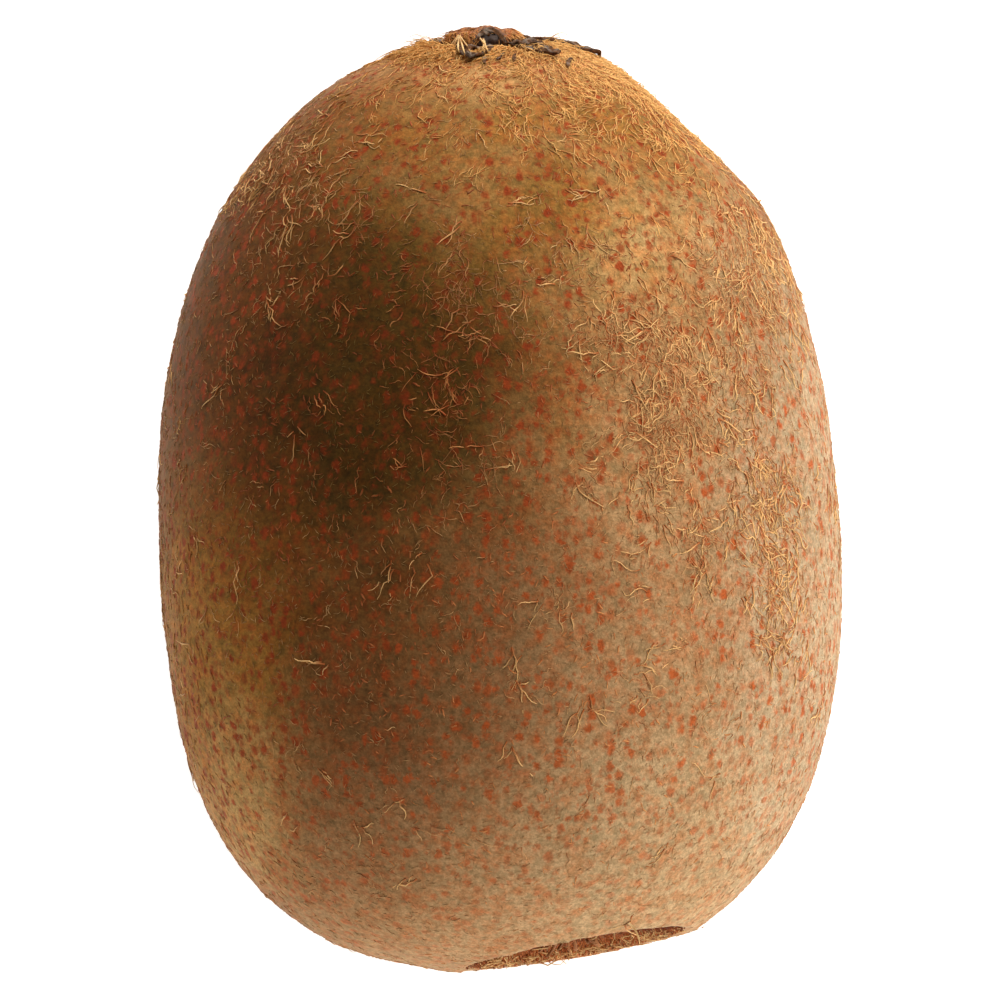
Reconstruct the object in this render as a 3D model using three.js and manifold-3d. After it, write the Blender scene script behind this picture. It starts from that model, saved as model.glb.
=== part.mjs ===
// A whole fuzzy kiwifruit, lying on its side on the small flat spot that it rests on.
// Millimetres, +Z up. +Y runs from the blossom end to the stalk end and +X lies to the fruit's right.
// The fruit body is one solid; the stalk's stub, the dried sepals round it and the dried styles in the
// blossom-end dip are organs of their own. The fuzz is too fine for solids and isn't modelled here.
import * as THREE from "three";
import { mergeVertices } from "three/addons/utils/BufferGeometryUtils.js";
import Module from "manifold-3d";

const wasm = await Module();
wasm.setup();

// ---------------------------------------------------------------- driving dimensions

// The egg outline, before its sides are eased flat. Powers of 2 would make each half an ellipse.
const GIRTH = 52; // width of the widest section
const THICKNESS = 0.925; // height of a section over its width: the fruit is slightly oval
const WIDEST_Y = -6.8; // the widest section is nearer the blossom end
const STALK_REACH = 40.6; // from the widest section to the stalk end
const BLOSSOM_REACH = 28.6; // from the widest section to the blossom end
const LENGTH_POWER = 2.1;
const WIDTH_POWER = 2.4; // over 2, so both ends are blunt
const AXIS_X = -0.95; // the core line at the widest section
const STALK_LEAN = 0.9; // how far the core line has drifted to +X at each end
const BLOSSOM_LEAN = 1.9;

// Broad planes that ease the outline: the direction they face in the XY plane, in degrees, how far
// they stand from the centre, and the distance over which the skin bends into them.
const EASED_SIDES = [
  { facing: 47, reach: 29.4, softness: 0.7 }, // the straight right shoulder
  { facing: -78, reach: 37.6, softness: 3.0 }, // the blunt blossom end
  { facing: 187, reach: 28.1, softness: 3.3 }, // the fuller left flank
];
const BELLY = { reach: 22.9, softness: 1.6 }; // the side that it lies on is a little flatter

// The blossom-end dip: a shallow bowl whose mouth is turned a little to +X and up.
const DIP_CENTRE_X = 5.7;
const DIP_CENTRE_Z = 2.0;
const DIP_TURN = 10; // degrees from -Y towards +X
const DIP_RISE = 4.6; // degrees from the XY plane towards +Z
const DIP_RADIUS = 8.6;
const DIP_DEPTH = 2.0;
const DIP_POWER = 2.6; // over 2, so the floor is flatter than a ball's and the wall is steeper
const LIP_HEIGHT = 0.35; // the skin rises to a soft lip round the dip
const LIP_WIDTH = 1.6;

// The stub of the stalk, in a socket at the stalk end.
const STUB_X = -1.3;
const STUB_Z = 3.0; // it stands a little above the core line
const STUB_LEAN = -2; // degrees from +Y towards +X
const STUB_RISE = 7; // degrees from the XY plane towards +Z
const STUB_RADIUS = 2.75;
const STUB_PROUD = 0.95; // above the skin
const STUB_SUNK = 1.1; // below the skin
// A domed button on a foot. Each point is a share of the radius and a share of the sunk or proud height.
const STUB_FOOT = [
  [0, 1],
  [0.8, 1],
  [0.98, 0.6],
  [1, 0.1],
];
const STUB_DOME = [
  [0.97, 0.3],
  [0.86, 0.61],
  [0.66, 0.86],
  [0.42, 0.99],
  [0.2, 0.97],
  [0, 0.9],
];

// The dried sepals: angle round the stub from +X towards -Z, and length. They lie outwards on the skin.
const SEPALS = [
  { angle: 8, length: 5.6, width: 3.0, curl: 0.1 },
  { angle: -40, length: 4.0, width: 2.6, curl: 0.3 },
  { angle: -98, length: 3.0, width: 2.8, curl: 0.3 },
  { angle: 138, length: 3.2, width: 2.6, curl: 0.1 },
  { angle: 72, length: 4.4, width: 3.2, curl: 0.3 },
];
const SEPAL_FULLNESS = 1.6; // over 1, so a sepal keeps its width well out from the stub
const SEPAL_TIP = 0.12; // width of the tip over the width at the stub
const SEPAL_THICKNESS = 0.22;
const SEPAL_CUPPING = 0.12; // how far its side edges stand above its middle
const SEPAL_GAP = 0.15; // between a sepal and the skin

// The dried styles, drawn together as one low tuft on the floor of the dip.
const TUFT_RADIUS = 3.4;
const TUFT_HEIGHT = 1.7;
const TUFT_ROUNDING = 0.7; // under 1 makes the tuft's shoulder fuller than a dome's
const TUFT_EDGE = 0.05; // thickness at its edge

const REST_TILT = -1.5; // degrees about X that bring the centre of mass over the flat spot
const FLAT_SPOT_CUT = 0.13; // how much of the belly the flat spot takes away
const CLEARANCE = 0.3; // between touching pieces

const SKIN_DETAIL = 13; // each face of the starting icosahedron is split into (detail + 1)^2 triangles
const ROUND_SEGMENTS = 32;
const CUTTER_RISE = 6; // how far a cutter stands out of the skin
const DIP_STEPS = 10; // rings in the dip's bowl
const RIM_SAMPLES = 24; // points averaged to find the level of the dip's rim
const SEARCH_STEPS = 30; // corrections made to find the skin at a given X and Z
const NORMAL_STEP = 0.2; // spacing of the skin points that give its normal

// ---------------------------------------------------------------- the skin as a formula

const radians = THREE.MathUtils.degToRad;

// The level unit vector at this angle from +X towards +Y.
const facing = (degrees) => new THREE.Vector3(Math.cos(radians(degrees)), Math.sin(radians(degrees)), 0);

const dipAxis = new THREE.Vector3(0, -1, 0).applyEuler(
  new THREE.Euler(-radians(DIP_RISE), 0, radians(DIP_TURN)),
);
const stubAxis = new THREE.Vector3(0, 1, 0).applyEuler(
  new THREE.Euler(radians(STUB_RISE), 0, -radians(STUB_LEAN)),
);

// Presses a point back to a plane, smoothly over the plane's softness.
function ease(point, normal, { reach, softness }) {
  const beyond = point.dot(normal) - reach;
  point.addScaledVector(normal, -softness * Math.log1p(Math.exp(beyond / softness)));
}

// Distance of a point from the line through start along axis.
function distanceToLine(point, start, axis) {
  return point.clone().sub(start).cross(axis).length();
}

// The skin's point for a direction on the unit sphere.
function skinPoint(direction) {
  const along = direction.y;
  const size = Math.abs(along);
  const across = Math.hypot(direction.x, direction.z);
  const ring = (GIRTH / 2) * Math.max(0, 1 - size ** LENGTH_POWER) ** (1 / WIDTH_POWER);
  const scale = across > 0 ? ring / across : 0;
  const lean = along > 0 ? STALK_LEAN : BLOSSOM_LEAN;
  const reach = along > 0 ? STALK_REACH : BLOSSOM_REACH;
  const point = new THREE.Vector3(
    AXIS_X + lean * along * along + scale * direction.x,
    WIDEST_Y + reach * along,
    THICKNESS * scale * direction.z,
  );
  for (const side of EASED_SIDES) ease(point, facing(side.facing), side);
  ease(point, new THREE.Vector3(0, 0, -1), BELLY);
  return point;
}

// The direction whose skin point lies above or below the given X and Z, at the stalk or blossom end.
function directionAt(x, z, end) {
  const guess = new THREE.Vector3((x - AXIS_X) / GIRTH, end, z / GIRTH).normalize();
  for (let step = 0; step < SEARCH_STEPS; step++) {
    const point = skinPoint(guess);
    guess.x += (x - point.x) / (2 * GIRTH);
    guess.z += (z - point.z) / (2 * GIRTH);
    guess.normalize();
  }
  return guess;
}

const dipCentre = skinPoint(directionAt(DIP_CENTRE_X, DIP_CENTRE_Z, -1));
const stubCentre = skinPoint(directionAt(STUB_X, STUB_Z, 1));

// The skin with the soft lip that stands round the dip.
function lippedSkinPoint(direction) {
  const point = skinPoint(direction);
  if (direction.y > 0) return point;
  const fromRim = (distanceToLine(point, dipCentre, dipAxis) - DIP_RADIUS) / LIP_WIDTH;
  return point.addScaledVector(dipAxis, LIP_HEIGHT * Math.exp(-fromRim * fromRim));
}

// ---------------------------------------------------------------- solids

function toSolid(geometry) {
  const bare = geometry.clone();
  bare.deleteAttribute("normal");
  bare.deleteAttribute("uv");
  const merged = mergeVertices(bare, 1e-4);
  return new wasm.Manifold(
    new wasm.Mesh({
      numProp: 3,
      vertProperties: new Float32Array(merged.attributes.position.array),
      triVerts: new Uint32Array(merged.index.array),
    }),
  );
}

function toGeometry(solid) {
  const mesh = solid.getMesh();
  const geometry = new THREE.BufferGeometry();
  geometry.setAttribute("position", new THREE.BufferAttribute(mesh.vertProperties, 3));
  geometry.setIndex(new THREE.BufferAttribute(mesh.triVerts, 1));
  geometry.computeVertexNormals();
  return geometry;
}

// A lathe about the given axis, its origin at centre. The profile's points are [radius, height].
function turned(profile, centre, axis) {
  const geometry = new THREE.LatheGeometry(
    profile.map(([radius, height]) => new THREE.Vector2(radius, height)),
    ROUND_SEGMENTS,
  );
  geometry.applyQuaternion(new THREE.Quaternion().setFromUnitVectors(new THREE.Vector3(0, 1, 0), axis));
  geometry.translate(centre.x, centre.y, centre.z);
  return geometry;
}

// Height of the dip's floor over the plane of its mouth, at a distance from its axis.
const dipFloor = (radius) => -DIP_DEPTH * (1 - (radius / DIP_RADIUS) ** DIP_POWER);

function dipCutter(mouth) {
  const profile = [];
  for (let i = 0; i <= DIP_STEPS; i++) {
    const radius = (DIP_RADIUS * i) / DIP_STEPS;
    profile.push([radius, dipFloor(radius)]);
  }
  profile.push([DIP_RADIUS + CUTTER_RISE / 2, CUTTER_RISE], [0, CUTTER_RISE]);
  return turned(profile, mouth, dipAxis);
}

function socketCutter() {
  const radius = STUB_RADIUS + CLEARANCE;
  const floor = -STUB_SUNK - CLEARANCE;
  return turned(
    [
      [0, floor],
      [radius - CLEARANCE, floor],
      [radius, floor + CLEARANCE],
      [radius, CUTTER_RISE],
      [0, CUTTER_RISE],
    ],
    stubCentre,
    stubAxis,
  );
}

// The point on the dip's axis that is level with the skin at the dip's rim.
function dipMouth() {
  const side = new THREE.Vector3(0, 0, 1).cross(dipAxis).normalize();
  const up = side.clone().cross(dipAxis).normalize();
  let level = 0;
  for (let i = 0; i < RIM_SAMPLES; i++) {
    const turn = (2 * Math.PI * i) / RIM_SAMPLES;
    const rim = dipCentre
      .clone()
      .addScaledVector(side, DIP_RADIUS * Math.cos(turn))
      .addScaledVector(up, DIP_RADIUS * Math.sin(turn));
    level += skinPoint(directionAt(rim.x, rim.z, -1)).sub(dipCentre).dot(dipAxis) / RIM_SAMPLES;
  }
  return dipCentre.clone().addScaledVector(dipAxis, level + LIP_HEIGHT / 2);
}

// The skin as a closed mesh of even triangles, tilted to its rest.
function fruitGeometry(mouth, rest) {
  const geometry = new THREE.IcosahedronGeometry(1, SKIN_DETAIL);
  const position = geometry.attributes.position;
  for (let i = 0; i < position.count; i++) {
    const direction = new THREE.Vector3().fromBufferAttribute(position, i).normalize();
    const point = lippedSkinPoint(direction);
    position.setXYZ(i, point.x, point.y, point.z);
  }
  const hollowed = toSolid(geometry).subtract(toSolid(dipCutter(mouth))).subtract(toSolid(socketCutter()));
  const tilted = toGeometry(hollowed).applyMatrix4(rest);
  tilted.computeBoundingBox();
  const { min, max } = tilted.boundingBox;
  const ground = new THREE.BoxGeometry(2 * (max.x - min.x), 2 * (max.y - min.y), CUTTER_RISE);
  ground.translate(0, 0, min.z + FLAT_SPOT_CUT - CUTTER_RISE / 2);
  return toGeometry(toSolid(tilted).subtract(toSolid(ground)));
}

// A squat woody button: sunk foot, domed top with a slight hollow in its middle.
function stubGeometry() {
  const foot = STUB_FOOT.map(([radius, depth]) => [radius * STUB_RADIUS, -depth * STUB_SUNK]);
  const dome = STUB_DOME.map(([radius, height]) => [radius * STUB_RADIUS, height * STUB_PROUD]);
  return turned([...foot, ...dome], stubCentre, stubAxis);
}

// A point above the skin near the stalk end, given its place round the stub.
function aboveSkin(radius, angle, height) {
  const x = stubCentre.x + radius * Math.cos(angle);
  const z = stubCentre.z - radius * Math.sin(angle);
  const point = skinPoint(directionAt(x, z, 1));
  const beside = skinPoint(directionAt(x + NORMAL_STEP, z, 1)).sub(point);
  const under = skinPoint(directionAt(x, z - NORMAL_STEP, 1)).sub(point);
  const normal = under.cross(beside).normalize();
  return point.addScaledVector(normal.y < 0 ? normal.negate() : normal, height);
}

// A thin leaf-shaped flake: broad by the stub, pointed and curling up at its tip. It is built as two
// layers of a grid that follows the skin, joined round their border.
function sepalGeometry({ angle, length, width, curl }) {
  const stepsAlong = 8;
  const stepsAcross = 6;
  const start = STUB_RADIUS + 2 * CLEARANCE;
  const middle = radians(angle);
  const vertices = [];
  const index = [];
  for (const layer of [SEPAL_GAP, SEPAL_GAP + SEPAL_THICKNESS])
    for (let i = 0; i <= stepsAlong; i++) {
      const along = i / stepsAlong;
      const narrowing = Math.cos((Math.PI / 2) * along ** SEPAL_FULLNESS);
      const half = (width / 2) * THREE.MathUtils.lerp(SEPAL_TIP, 1, narrowing);
      for (let j = 0; j <= stepsAcross; j++) {
        const across = (2 * j) / stepsAcross - 1;
        const radius = start + length * along;
        const height = layer + curl * along * along + SEPAL_CUPPING * across * across;
        vertices.push(...aboveSkin(radius, middle + (half * across) / radius, height).toArray());
      }
    }
  const row = stepsAcross + 1;
  const upper = row * (stepsAlong + 1);
  for (let i = 0; i < stepsAlong; i++)
    for (let j = 0; j < stepsAcross; j++) {
      const a = i * row + j;
      const b = a + row;
      index.push(a, a + 1, b, b, a + 1, b + 1);
      index.push(upper + a, upper + b, upper + a + 1, upper + a + 1, upper + b, upper + b + 1);
    }
  const border = [];
  for (let j = 0; j < stepsAcross; j++) border.push(j);
  for (let i = 0; i < stepsAlong; i++) border.push(i * row + stepsAcross);
  for (let j = stepsAcross; j > 0; j--) border.push(stepsAlong * row + j);
  for (let i = stepsAlong; i > 0; i--) border.push(i * row);
  border.forEach((a, i) => {
    const b = border[(i + 1) % border.length];
    index.push(a, upper + a, b, b, upper + a, upper + b);
  });
  const geometry = new THREE.BufferGeometry();
  geometry.setAttribute("position", new THREE.Float32BufferAttribute(vertices, 3));
  geometry.setIndex(index);
  geometry.computeVertexNormals();
  return geometry;
}

// A low dome that stands on the dip's floor.
function tuftGeometry(mouth) {
  const steps = 6;
  const under = [];
  const over = [];
  for (let i = 0; i <= steps; i++) {
    const share = i / steps;
    const radius = TUFT_RADIUS * share;
    const foot = dipFloor(radius) + CLEARANCE;
    const height = TUFT_HEIGHT * (1 - share * share) ** TUFT_ROUNDING;
    under.push([radius, foot]);
    if (i < steps) over.unshift([radius, foot + height + TUFT_EDGE]);
  }
  return turned([...under, ...over], mouth, dipAxis);
}

// ---------------------------------------------------------------- materials and assembly

const skinMaterial = new THREE.MeshStandardMaterial({ color: 0x96693a, roughness: 0.85, metalness: 0 });
const woodMaterial = new THREE.MeshStandardMaterial({ color: 0x8a4a22, roughness: 0.8, metalness: 0 });
const sepalMaterial = new THREE.MeshStandardMaterial({ color: 0x4a3a34, roughness: 0.6, metalness: 0 });
const styleMaterial = new THREE.MeshStandardMaterial({ color: 0x8c5a34, roughness: 0.85, metalness: 0 });

const rest = new THREE.Matrix4().makeRotationX(radians(REST_TILT));
const kiwi = new THREE.Group();

function add(name, geometry, material) {
  const mesh = new THREE.Mesh(geometry, material);
  mesh.name = name;
  kiwi.add(mesh);
}

const mouth = dipMouth();
add("fruit", fruitGeometry(mouth, rest), skinMaterial);
add("stalk_stub", stubGeometry().applyMatrix4(rest), woodMaterial);
SEPALS.forEach((sepal, i) => add(`sepal_${i + 1}`, sepalGeometry(sepal).applyMatrix4(rest), sepalMaterial));
add("style_tuft", tuftGeometry(mouth).applyMatrix4(rest), styleMaterial);

// The origin is under the middle of the fruit, on the surface that it rests on.
const box = new THREE.Box3().setFromObject(kiwi);
kiwi.position.set(-(box.min.x + box.max.x) / 2, -(box.min.y + box.max.y) / 2, -box.min.z);

export default kiwi;
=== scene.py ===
"""A whole fuzzy kiwifruit lying on its side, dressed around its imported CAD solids.

Metres, +Z up, +Y towards the stalk end. The skin is the CAD fruit remeshed finely; the fuzz is real strands
that grow from it: rust-red bristles, golden hairs, pale down and the crimped hairs of the blossom-end dip.
"""

import math

import bpy
import numpy as np
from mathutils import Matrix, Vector, noise
from mathutils.bvhtree import BVHTree


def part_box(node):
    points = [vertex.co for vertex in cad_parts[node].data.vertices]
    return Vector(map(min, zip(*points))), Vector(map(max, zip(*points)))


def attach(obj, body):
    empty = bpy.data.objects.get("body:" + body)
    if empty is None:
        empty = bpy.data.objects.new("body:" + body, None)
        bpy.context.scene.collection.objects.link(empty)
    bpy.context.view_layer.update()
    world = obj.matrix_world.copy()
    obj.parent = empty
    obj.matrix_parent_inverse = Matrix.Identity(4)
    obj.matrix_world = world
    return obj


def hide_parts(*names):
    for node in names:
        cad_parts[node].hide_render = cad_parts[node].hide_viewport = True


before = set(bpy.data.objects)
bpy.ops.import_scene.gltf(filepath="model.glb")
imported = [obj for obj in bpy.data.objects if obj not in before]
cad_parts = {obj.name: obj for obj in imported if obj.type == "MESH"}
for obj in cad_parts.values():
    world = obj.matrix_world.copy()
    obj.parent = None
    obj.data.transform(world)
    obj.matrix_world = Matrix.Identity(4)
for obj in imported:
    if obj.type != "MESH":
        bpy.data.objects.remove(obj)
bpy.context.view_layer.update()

# ---------------------------------------------------------------- sizes and places

MM = 0.001
SEED = 20

FRUIT_LOW, FRUIT_HIGH = (np.array(corner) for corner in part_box("fruit"))
STUB_LOW, STUB_HIGH = (np.array(corner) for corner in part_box("stalk_stub"))
TUFT_LOW, TUFT_HIGH = (np.array(corner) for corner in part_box("style_tuft"))
FRUIT_CENTRE = (FRUIT_LOW + FRUIT_HIGH) / 2
STUB_CENTRE = (STUB_LOW + STUB_HIGH) / 2
DIP_CENTRE = (TUFT_LOW + TUFT_HIGH) / 2
DIP_RADIUS = 8.6 * MM
DIP_DEPTH = 2.0 * MM
DIP_TURN = math.radians(10)  # the dip faces this far from -Y towards +X
DIP_RISE = math.radians(6)  # and this far upwards
DIP_MOUTH = 0.95 * MM  # how far out of the dip's centre, along its axis, its hairs may reach
DIP_AXIS = np.array(
    [math.sin(DIP_TURN) * math.cos(DIP_RISE), -math.cos(DIP_TURN) * math.cos(DIP_RISE), math.sin(DIP_RISE)]
)
SKIN_VOXEL = 0.42 * MM
SKIN_CURVE = 27 * MM  # mean radius of curvature of the skin, which lying hairs follow
STUB_CURVE = 2.6 * MM  # and of the stub's dome
SEPALS = 5
SCRAP_THICKNESS = 0.07 * MM
FLOOR_GAP = 0.02 * MM  # keeps the floor clear of the flat spot that the fruit lies on
TO_BLOSSOM_END = np.array([[0.0, -1, 0]])  # from the stalk end to the blossom end, the way the hairs lie

# Soft lights: azimuth from +X towards +Y and elevation (degrees), watts, side (metres) and tint.
SOFTBOXES = {
    "key_right": (350, 19, 2.15, 0.50, (1.0, 0.97, 0.93)),
    "blossom_side": (284, 12, 1.38, 0.40, (1.0, 0.97, 0.93)),
    "stalk_side": (74, 24, 3.35, 0.50, (1.0, 0.96, 0.90)),
    "left_fill": (226, 12, 0.80, 0.40, (1.0, 0.92, 0.76)),
}

# Blots of painted shade and painted light, set where the skin falls too bright or too dim under the lamps,
# mixed with darker and paler skin: middle and half-sizes (millimetres), how ragged the edge is, how strong
# the blot is, and the tint that multiplies the skin's colour.
PAINTED_LIGHT_AND_SKIN_BLOTS = [
    ((-10.5, -20.0, 40), (7.0, 10.0, 16), 0.6, 0.55, (0.78, 0.70, 0.66)),
    ((-5.0, -10.5, 45), (9.5, 11.5, 14), 0.8, 0.8, (0.72, 0.65, 0.61)),
    ((-14.0, 3.0, 40), (9.0, 16.0, 14), 0.6, 0.8, (0.82, 0.78, 0.66)),
    ((-15.5, 2.0, 42), (4.0, 4.5, 12), 0.6, 0.8, (0.74, 0.74, 0.68)),
    ((-6.6, -7.5, 45), (4.0, 4.5, 12), 0.6, 0.8, (0.84, 0.81, 0.70)),
    ((-20.5, 15.0, 34), (7.0, 13.0, 14), 0.6, 0.85, (0.62, 0.52, 0.34)),
    ((-21.5, -16.0, 33), (7.5, 15.0, 16), 0.6, 0.9, (1.80, 2.10, 2.10)),
    ((9.5, 10.0, 42), (7.5, 12.0, 12), 0.8, 0.85, (1.40, 1.50, 1.60)),
    ((3.0, 14.0, 44), (4.5, 8.0, 12), 0.8, 0.8, (0.80, 0.77, 0.73)),
    ((-10.0, 21.0, 38), (7.0, 5.0, 12), 0.6, 0.7, (0.78, 0.77, 0.75)),
    ((24.0, 0.0, 24), (10.0, 28.0, 26), 0.6, 0.95, (1.07, 1.28, 1.60)),
    ((12.0, -25.0, 34), (11.0, 9.0, 16), 0.6, 0.9, (1.14, 1.24, 1.32)),
    ((5.0, 23.5, 38), (17.0, 10.5, 16), 0.6, 0.9, (1.52, 1.80, 2.12)),
]
DARK_PATCH = ((-8.3, 9.0, 45), (9.2, 12.4, 16), 0.9)  # middle, half-sizes and raggedness of the dark patch

# Where the long golden hairs stand thickest on the upper side: middle in X and Y from the fruit's centre,
# half-sizes along X and Y, and how many times thicker than elsewhere.
HAIR_CLUMPS = [
    ((12.0, 7.5), (2.2, 5.0), 18),
    ((9.8, 13.0), (3.6, 2.0), 9),
    ((17.0, 9.0), (2.0, 5.5), 9),
    ((19.3, 0.5), (1.7, 3.2), 13),
    ((20.2, -6.0), (1.5, 3.6), 10),
    ((18.5, 17.5), (3.0, 4.5), 9),
    ((15.0, -3.0), (1.5, 2.0), 10),
    ((6.8, 2.0), (1.2, 1.4), 9),
    ((-3.0, 8.0), (2.4, 5.5), 3.6),
    ((-2.6, 15.0), (2.6, 2.5), 3.4),
    ((-16.5, 25.0), (3.5, 2.6), 7),
    ((-13.5, 20.5), (3.0, 3.0), 1.6),
    ((4.0, 17.0), (9.0, 4.0), 2),
]

# Scraps of the dried calyx that lie by the stub, seen from above: middle in X and Y from the stub's centre,
# radius of the curl, the angle where it starts, how far it turns, and its width (millimetres and degrees).
CALYX_SCRAPS = [
    ((0.40, -0.35), 1.20, 115, -175, 0.36),
    ((0.10, 0.15), 0.45, 30, 150, 0.34),
    ((-0.75, -0.75), 0.30, 20, 230, 0.42),
    ((0.30, -1.45), 0.20, 60, 200, 0.30),
    ((2.70, -1.25), 0.40, 215, -80, 0.26),
    ((2.30, -0.45), 0.45, 130, -120, 0.40),
    ((3.70, -0.50), 0.55, 150, -95, 0.36),
    ((6.70, -1.70), 0.45, 210, -110, 0.30),
]

# Single pale hairs, seen from above: X and Y of the foot and of the tip (millimetres). The first six fan out
# from the stub's left, the next three hang over its scar, and the last one lies across the dip's upper rim.
PALE_HAIRS = [
    ((-3.05, 34.00), (-4.15, 32.55)),
    ((-3.05, 34.00), (-3.75, 32.20)),
    ((-3.00, 34.00), (-3.20, 32.05)),
    ((-2.95, 34.00), (-2.85, 32.30)),
    ((-2.95, 34.00), (-2.45, 32.10)),
    ((-2.95, 34.00), (-2.15, 32.75)),
    ((-1.20, 33.75), (-1.10, 32.30)),
    ((-1.15, 33.60), (-0.75, 32.55)),
    ((-1.45, 33.80), (-1.10, 33.20)),
    ((9.35, -30.80), (10.20, -32.40)),
]


def lerp(a, b, t):
    return a + (b - a) * t


def smoothstep(low, high, value):
    t = np.clip((value - low) / (high - low), 0, 1)
    return t * t * (3 - 2 * t)


def unit(vectors):
    return vectors / np.maximum(np.linalg.norm(vectors, axis=-1, keepdims=True), 1e-12)


def noise_at(points, size, seed=0):
    """Smooth noise from -1 to 1 with features of about this size, at each point."""
    offset = Vector((7.3 * seed, 3.1 * seed, 11.7 * seed))
    return np.array([noise.noise(Vector(p) / size + offset) for p in points])


def link(obj):
    bpy.context.scene.collection.objects.link(obj)
    return obj


# ---------------------------------------------------------------- node material helpers


class Paint:
    """A material being built: short calls that add a node and return its output."""

    def __init__(self, name):
        self.material = bpy.data.materials.new(name)
        self.material.use_nodes = True
        self.tree = self.material.node_tree
        self.shader = self.tree.nodes["Principled BSDF"]
        self.place = self.tree.nodes.new("ShaderNodeTexCoord").outputs["Object"]

    def node(self, kind, output, inputs=(), **settings):
        made = self.tree.nodes.new(kind)
        for key, value in settings.items():
            setattr(made, key, value)
        for key, value in dict(inputs).items():
            self.put(made.inputs[key], value)
        return made.outputs[output]

    def put(self, socket, value):
        if isinstance(value, bpy.types.NodeSocket):
            self.tree.links.new(value, socket)
        else:
            socket.default_value = value

    def set(self, **values):
        for name, value in values.items():
            self.put(self.shader.inputs[name.replace("_", " ")], value)

    def noise(self, size, detail=2.0, roughness=0.5, place=None, output="Fac"):
        inputs = {"Vector": place or self.place, "Scale": 1 / size, "Detail": detail, "Roughness": roughness}
        return self.node("ShaderNodeTexNoise", output, inputs)

    def maths(self, operation, a, b=0.0, clamp=False):
        return self.node("ShaderNodeMath", 0, {0: a, 1: b}, operation=operation, use_clamp=clamp)

    def vector(self, operation, a, b):
        output = "Value" if operation in ("DISTANCE", "DOT_PRODUCT", "LENGTH") else "Vector"
        return self.node("ShaderNodeVectorMath", output, {0: a, 1: b}, operation=operation)

    def between(self, value, low, high, to_low=0.0, to_high=1.0):
        """value taken from low..high to to_low..to_high, smoothly."""
        inputs = {"Value": value, "From Min": low, "From Max": high, "To Min": to_low, "To Max": to_high}
        return self.node("ShaderNodeMapRange", "Result", inputs, interpolation_type="SMOOTHSTEP")

    def mix(self, factor, a, b, blend="MIX"):
        made = self.tree.nodes.new("ShaderNodeMix")
        made.data_type = "RGBA"
        made.blend_type = blend
        self.put(made.inputs["Factor"], factor)
        for socket, value in zip((made.inputs[6], made.inputs[7]), (a, b)):
            self.put(socket, (*value, 1) if isinstance(value, tuple) and len(value) == 3 else value)
        return made.outputs[2]

    def attribute(self, name):
        return self.node("ShaderNodeAttribute", "Fac", attribute_name=name)

    def stretched(self, scale):
        return self.node("ShaderNodeMapping", "Vector", {"Vector": self.place, "Scale": scale})

    def bump(self, height, depth):
        self.set(Normal=self.node("ShaderNodeBump", "Normal", {"Height": height, "Distance": depth}))


def shown(place):
    """An (x, y, z) place in millimetres as a metre vector for a node's socket."""
    return tuple(c * MM for c in place)


# ---------------------------------------------------------------- camera, floor and light


def make_camera():
    """A long lens that looks straight down on the fruit."""
    lens, sensor = 800, 36
    view_width = 73.4 * MM  # how wide a strip is seen at the height of the fruit's outline
    camera = link(bpy.data.objects.new("camera", bpy.data.cameras.new("camera")))
    camera.data.lens, camera.data.sensor_width = lens, sensor
    camera.location = (0, 0, FRUIT_CENTRE[2] + view_width * lens / sensor)
    bpy.context.scene.camera = camera


def make_floor():
    half = 3.0
    corners = [(-half, -half, 0), (half, -half, 0), (half, half, 0), (-half, half, 0)]
    mesh = bpy.data.meshes.new("floor")
    mesh.from_pydata(corners, [], [(0, 1, 2, 3)])
    floor = link(bpy.data.objects.new("floor", mesh))
    floor.location.z = -FLOOR_GAP
    paint = Paint("pale_floor")
    paint.set(Base_Color=(0.8, 0.8, 0.79, 1), Roughness=0.9, Emission_Color=(1, 0.99, 0.97, 1))
    paint.set(Emission_Strength=0.82)
    mesh.materials.append(paint.material)


def softbox(name, azimuth, elevation, watts, size, tint):
    """A square soft light aimed at the fruit. Azimuth turns from +X towards +Y."""
    distance = 0.55
    a, e = math.radians(azimuth), math.radians(elevation)
    away = Vector((math.cos(a) * math.cos(e), math.sin(a) * math.cos(e), math.sin(e)))
    data = bpy.data.lights.new(name, "AREA")
    data.size, data.energy, data.color = size, watts, tint
    light = link(bpy.data.objects.new(name, data))
    light.location = Vector(FRUIT_CENTRE) + away * distance
    light.rotation_euler = away.to_track_quat("Z", "Y").to_euler()
    light.visible_camera = False


def make_world():
    """A pale surround, brighter at the horizon than overhead."""
    world = bpy.data.worlds.new("studio")
    bpy.context.scene.world = world
    world.use_nodes = True
    tree = world.node_tree
    direction = tree.nodes.new("ShaderNodeTexCoord").outputs["Generated"]
    split = tree.nodes.new("ShaderNodeSeparateXYZ")
    tree.links.new(direction, split.inputs[0])
    fall = tree.nodes.new("ShaderNodeMapRange")
    fall.interpolation_type = "SMOOTHSTEP"
    for key, value in {"From Min": 0.02, "From Max": 0.32, "To Min": 0.50, "To Max": 0.04}.items():
        fall.inputs[key].default_value = value
    tree.links.new(split.outputs["Z"], fall.inputs["Value"])
    tree.links.new(fall.outputs[0], tree.nodes["Background"].inputs["Strength"])
    tree.nodes["Background"].inputs["Color"].default_value = (1, 0.97, 0.93, 1)


# ---------------------------------------------------------------- the skin


def evaluated_mesh(obj):
    made = bpy.data.meshes.new_from_object(obj.evaluated_get(bpy.context.evaluated_depsgraph_get()))
    obj.modifiers.clear()
    return made


def coordinates(mesh):
    flat = np.zeros(len(mesh.vertices) * 3)
    mesh.vertices.foreach_get("co", flat)
    return flat.reshape(-1, 3)


def vertex_normals(mesh):
    flat = np.zeros(len(mesh.vertices) * 3)
    mesh.vertices.foreach_get("normal", flat)
    return flat.reshape(-1, 3)


def set_coordinates(mesh, points):
    mesh.vertices.foreach_set("co", points.ravel())
    mesh.update()


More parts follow.
